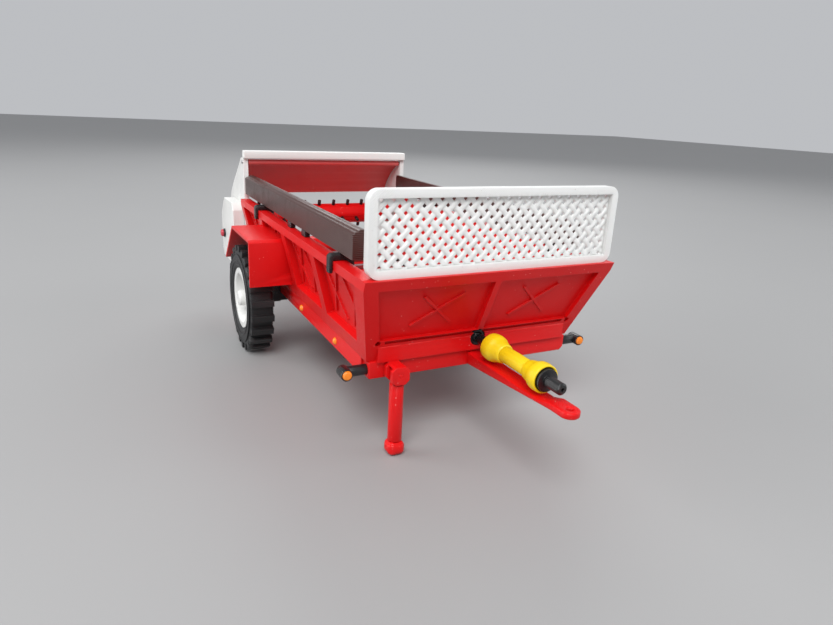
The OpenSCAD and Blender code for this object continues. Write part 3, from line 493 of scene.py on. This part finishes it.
def weaveLayer(low, high, turn, chance):
    middle = (low + high) / 2
    reach = (high - low).length * 0.52
    strand = makeStrand(reach)
    layer = bmesh.new()
    spacing = screenWeave["pitch"] * mm / math.sqrt(2)
    count = int((high.x - low.x + high.z - low.z) / math.sqrt(2) / spacing / 2) + 1
    for i in range(-count, count + 1):
        copy = strand.copy()
        swing = screenWeave["swing"] * mm * (-1) ** i
        for vert in copy.vertices:
            lump = 1 + chance.uniform(-screenWeave["lumps"], 0)
            vert.co.y = vert.co.y * lump + swing * math.sin(math.pi * vert.co.x / spacing)
        copy.transform(Matrix.Translation((0, 0, (i + 0.5) * spacing)))
        copy.transform(Matrix.Rotation(-turn, 4, "Y"))
        copy.transform(Matrix.Translation(middle))
        layer.from_mesh(copy)
        bpy.data.meshes.remove(copy)
    bpy.data.meshes.remove(strand)
    for point, facing in ((low, (-1, 0, 0)), (low, (0, 0, -1)), (high, (1, 0, 0)), (high, (0, 0, 1))):
        bmesh.ops.bisect_plane(layer, geom=layer.verts[:] + layer.edges[:] + layer.faces[:],
                               plane_co=point, plane_no=facing, clear_outer=True)
    bmesh.ops.remove_doubles(layer, verts=layer.verts, dist=1.0e-6)
    bmesh.ops.holes_fill(layer, edges=[edge for edge in layer.edges if edge.is_boundary], sides=40)
    bmesh.ops.recalc_face_normals(layer, faces=layer.faces)
    return layer


def makeScreenWeave():
    low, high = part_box("screen_mesh")
    chance = random.Random(7)
    whole = bmesh.new()
    for turn in (math.pi / 4, -math.pi / 4):
        layer = weaveLayer(low, high, turn, chance)
        held = bpy.data.meshes.new("heldLayer")
        layer.to_mesh(held)
        layer.free()
        whole.from_mesh(held)
        bpy.data.meshes.remove(held)
    piece = keepPiece("screenWeave", whole, "screen_mesh", finish="screenPrint")
    smoothFaces(piece)


makeScreenWeave()
print("screen woven")


chain = {
    "plate": 0.30,       # room that one side plate takes across the chain
    "slack": 0.92,       # thickness of a plate against that room
    "pin": 0.26,         # radius of a pin
    "pinLength": 1.02,   # against the chain's width
    "roller": 0.42,      # radius of a roller
    "rollerInset": 4.2,  # plates' worth that a roller is narrower than the chain
    "ends": 5,           # corners round each end of a plate
    "edge": 0.06,
}
beaterChain = {"band": 0.8, "height": 0.9, "pitch": 1.7}
conveyorChain = {"width": 1.6, "pitch": 2.4}


def addPlate(shape, start, end, height, thick):
    # a round-ended side plate from one pin to the next, its thickness along X
    along = (end - start).normalized()
    up = Vector((1, 0, 0)).cross(along)
    ring = []
    for centre, turn in ((end, -math.pi / 2), (start, math.pi / 2)):
        for k in range(chain["ends"]):
            angle = turn + math.pi * k / (chain["ends"] - 1)
            reach = along * math.cos(angle) + up * math.sin(angle)
            ring.append(shape.verts.new(centre + reach * height / 2 - Vector((thick / 2, 0, 0))))
    near = shape.faces.new(ring)
    made = bmesh.ops.extrude_face_region(shape, geom=[near])["geom"]
    far = [item for item in made if isinstance(item, bmesh.types.BMVert)]
    bmesh.ops.translate(shape, verts=far, vec=(thick, 0, 0))


def addPin(shape, centre, radius, reach, sides=8):
    turn = Matrix.Translation(centre) @ Matrix.Rotation(math.pi / 2, 4, "Y")
    bmesh.ops.create_cone(shape, cap_ends=True, segments=sides, radius1=radius, radius2=radius,
                          depth=reach, matrix=turn)


def addChain(shape, pins, width, height, closed):
    # links alternate between an outer and an inner pair of plates
    pairs = list(zip(pins, pins[1:] + pins[:1])) if closed else list(zip(pins, pins[1:]))
    for i, (start, end) in enumerate(pairs):
        outer = width / 2 - chain["plate"] * mm / 2
        gap = outer if i % 2 == 0 else outer - chain["plate"] * mm
        for side in (-1, 1):
            shift = Vector((side * gap, 0, 0))
            addPlate(shape, start + shift, end + shift, height, chain["plate"] * mm * chain["slack"])
    for centre in pins:
        addPin(shape, centre, chain["pin"] * mm, width * chain["pinLength"])
        addPin(shape, centre, chain["roller"] * mm, width - chain["plate"] * mm * chain["rollerInset"], 10)


def loopPins(x, top, bottom, y, radius, pitch):
    # evenly spaced pins on a loop round an upper and a lower chain wheel
    run = top - bottom
    length = 2 * run + 2 * math.pi * radius
    count = 2 * round(length / pitch / 2)
    pins = []
    for i in range(count):
        s = length * i / count
        if s < run:
            pins.append(Vector((x, y - radius, bottom + s)))
        elif s < run + math.pi * radius:
            angle = (s - run) / radius
            pins.append(Vector((x, y - radius * math.cos(angle), top + radius * math.sin(angle))))
        elif s < 2 * run + math.pi * radius:
            pins.append(Vector((x, y + radius, top - (s - run - math.pi * radius))))
        else:
            angle = (s - 2 * run - math.pi * radius) / radius
            pins.append(Vector((x, y + radius * math.cos(angle), bottom - radius * math.sin(angle))))
    return pins


def makeBeaterChain():
    low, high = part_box("beater_chain")
    band = beaterChain["band"] * mm
    radius = (high.y - low.y) / 2 - band / 2
    pins = loopPins((low.x + high.x) / 2, high.z - radius - band / 2, low.z + radius + band / 2,
                    (low.y + high.y) / 2, radius, beaterChain["pitch"] * mm)
    shape = bmesh.new()
    addChain(shape, pins, high.x - low.x, beaterChain["height"] * mm, True)
    bmesh.ops.recalc_face_normals(shape, faces=shape.faces)
    roundEdges(keepPiece("beaterChainLinks", shape, "beater_chain"), chain["edge"], 1, 40)


def makeConveyorChains():
    low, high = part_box("conveyor_chains")
    width, height = conveyorChain["width"] * mm, high.z - low.z
    pitch = conveyorChain["pitch"] * mm
    count = int((high.y - low.y - height) / pitch) + 1
    shape = bmesh.new()
    for x in (low.x + width / 2, high.x - width / 2):
        pins = [Vector((x, low.y + height / 2 + pitch * i, low.z + height / 2)) for i in range(count)]
        addChain(shape, pins, width, height, False)
    bmesh.ops.recalc_face_normals(shape, faces=shape.faces)
    roundEdges(keepPiece("conveyorChainLinks", shape, "conveyor_chains"), chain["edge"], 1, 40)


makeBeaterChain()
makeConveyorChains()
print("chains linked")


tyreRings = {
    "stations": (0.30, 0.62),   # from the rim towards the tread, as shares of the sidewall
    "thick": 0.42,
    "stand": 0.06,              # how far outside the tyre's face the rings are set before they are sunk
    "sink": 0.75,               # how far they are then sunk, in half thicknesses
    "around": 72, "sides": 8,
}


def makeTyreRings(side):
    # raised rings moulded round the outer wall of a tyre
    low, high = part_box(side + "_tyre")
    rimLow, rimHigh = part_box(side + "_wheel_rim")
    centreY, centreZ = (low.y + high.y) / 2, (low.z + high.z) / 2
    rimRadius, tyreRadius = (rimHigh.z - rimLow.z) / 2, (high.z - low.z) / 2
    outward = -1 if side == "left" else 1
    face = (low.x if side == "left" else high.x) + outward * tyreRings["stand"] * mm
    shape = bmesh.new()
    for share in tyreRings["stations"]:
        radius = rimRadius + (tyreRadius - rimRadius) * share
        rows = []
        for k in range(tyreRings["around"]):
            angle = 2 * math.pi * k / tyreRings["around"]
            out = Vector((0, math.cos(angle), math.sin(angle)))
            row = []
            for j in range(tyreRings["sides"]):
                turn = 2 * math.pi * j / tyreRings["sides"]
                half = tyreRings["thick"] * mm / 2
                spot = out * (radius + half * math.cos(turn))
                across = face + half * (math.sin(turn) - outward * tyreRings["sink"])
                row.append(shape.verts.new((across, centreY + spot.y, centreZ + spot.z)))
            rows.append(row)
        for a, b in zip(rows, rows[1:] + rows[:1]):
            for j in range(tyreRings["sides"]):
                k = (j + 1) % tyreRings["sides"]
                shape.faces.new((a[j], a[k], b[k], b[j]))
    bmesh.ops.recalc_face_normals(shape, faces=shape.faces)
    smoothFaces(keepPiece(side + "TyreRings", shape, side + "_tyre", stands=False))


makeTyreRings("left")
makeTyreRings("right")
print("tyre rings made")


studio = {
    "floorHalf": 3.0,
    "floorTint": (0.33, 0.33, 0.33),
    "floorDrift": 0.96,         # darkest patches of the floor against its tint
    "sky": (0.94, 0.96, 1.0), "skyPower": 0.54,
    "lamps": (
        # name, place, aims at, size, power
        ("keyLight", (-0.35, -0.55, 0.75), (0.0, 0.0, 0.03), 0.55, 7.6),
        ("sideLight", (-0.85, 0.35, 0.40), (0.0, 0.0, 0.04), 0.70, 5.0),
        ("backLight", (0.45, 0.75, 0.65), (0.0, 0.05, 0.04), 0.60, 3.6),
        ("rightLight", (0.75, -0.35, 0.45), (0.0, 0.0, 0.04), 0.60, 1.9),
    ),
}


def makeStudio():
    shape = bmesh.new()
    bmesh.ops.create_grid(shape, x_segments=8, y_segments=8, size=studio["floorHalf"])
    mesh = bpy.data.meshes.new("floor")
    shape.to_mesh(mesh)
    shape.free()
    floor = bpy.data.objects.new("floor", mesh)
    bpy.context.scene.collection.objects.link(floor)
    paint = bpy.data.materials.new("floorPaint")
    paint.use_nodes = True
    tree = paint.node_tree
    shader = tree.nodes["Principled BSDF"]
    place = addNode(tree, "ShaderNodeTexCoord").outputs["Object"]
    cloud = noiseOf(tree, place, 9.0, 4.0)
    darker = tuple(value * studio["floorDrift"] for value in studio["floorTint"])
    base = mixColour(tree, cloud, (*studio["floorTint"], 1), (*darker, 1))
    tree.links.new(base, shader.inputs["Base Color"])
    shader.inputs["Roughness"].default_value = 0.55
    mesh.materials.append(paint)
    for name, place, aim, size, power in studio["lamps"]:
        data = bpy.data.lights.new(name, "AREA")
        data.shape = "DISK"
        data.size = size
        data.energy = power
        lamp = bpy.data.objects.new(name, data)
        bpy.context.scene.collection.objects.link(lamp)
        lamp.location = place
        lamp.rotation_euler = (Vector(aim) - Vector(place)).to_track_quat("-Z", "Y").to_euler()
    world = bpy.data.worlds.new("studio")
    bpy.context.scene.world = world
    world.use_nodes = True
    sky = world.node_tree.nodes["Background"]
    sky.inputs["Color"].default_value = (*studio["sky"], 1)
    sky.inputs["Strength"].default_value = studio["skyPower"]
    bpy.context.scene.view_settings.view_transform = "Standard"


makeStudio()
print("studio set")
